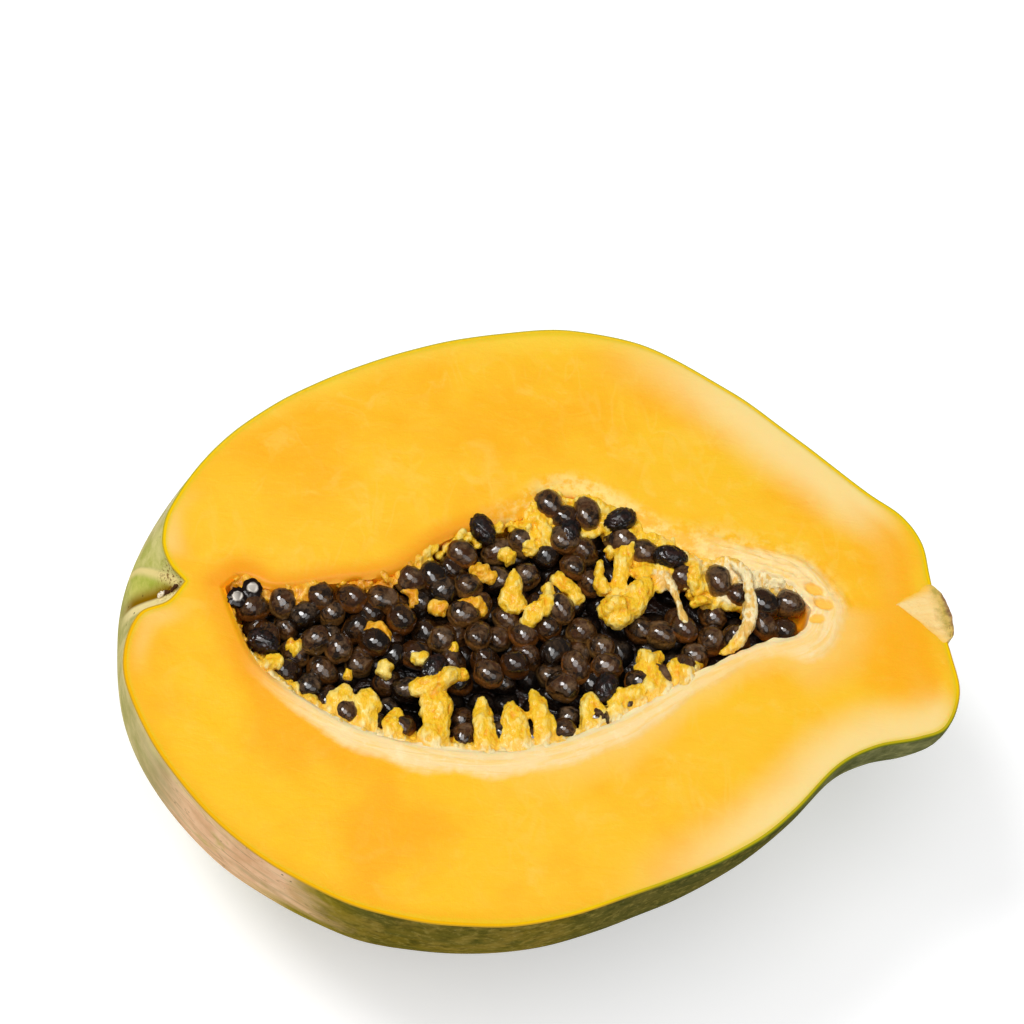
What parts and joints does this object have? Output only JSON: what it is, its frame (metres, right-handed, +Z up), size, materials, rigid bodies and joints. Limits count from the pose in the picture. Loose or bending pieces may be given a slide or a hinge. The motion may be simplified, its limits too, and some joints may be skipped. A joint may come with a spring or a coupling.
{
  "type": "papaya half",
  "caption": "Cut half of a papaya lying on its green skin, with orange flesh, a hollow filled with dark seeds and pulp strands, and a short stem stub.",
  "frame": {"origin": "middle of the bounding box at the floor, under the fruit half", "axes": "+X along the fruit towards the stem end, +Z up out of the cut face"},
  "size_m": [0.1828, 0.1459, 0.0754],
  "materials": {
    "skin": "waxy mottled green fruit skin",
    "flesh": "moist orange-yellow fruit flesh",
    "seeds": "wet glossy dark brown seeds",
    "stem": "dry corky green-brown stem end"
  },
  "bodies": {
    "root": {"skin": "skin", "flesh": "flesh", "seeds": "seeds", "stem_stub": "stem"}
  },
  "joints": []
}
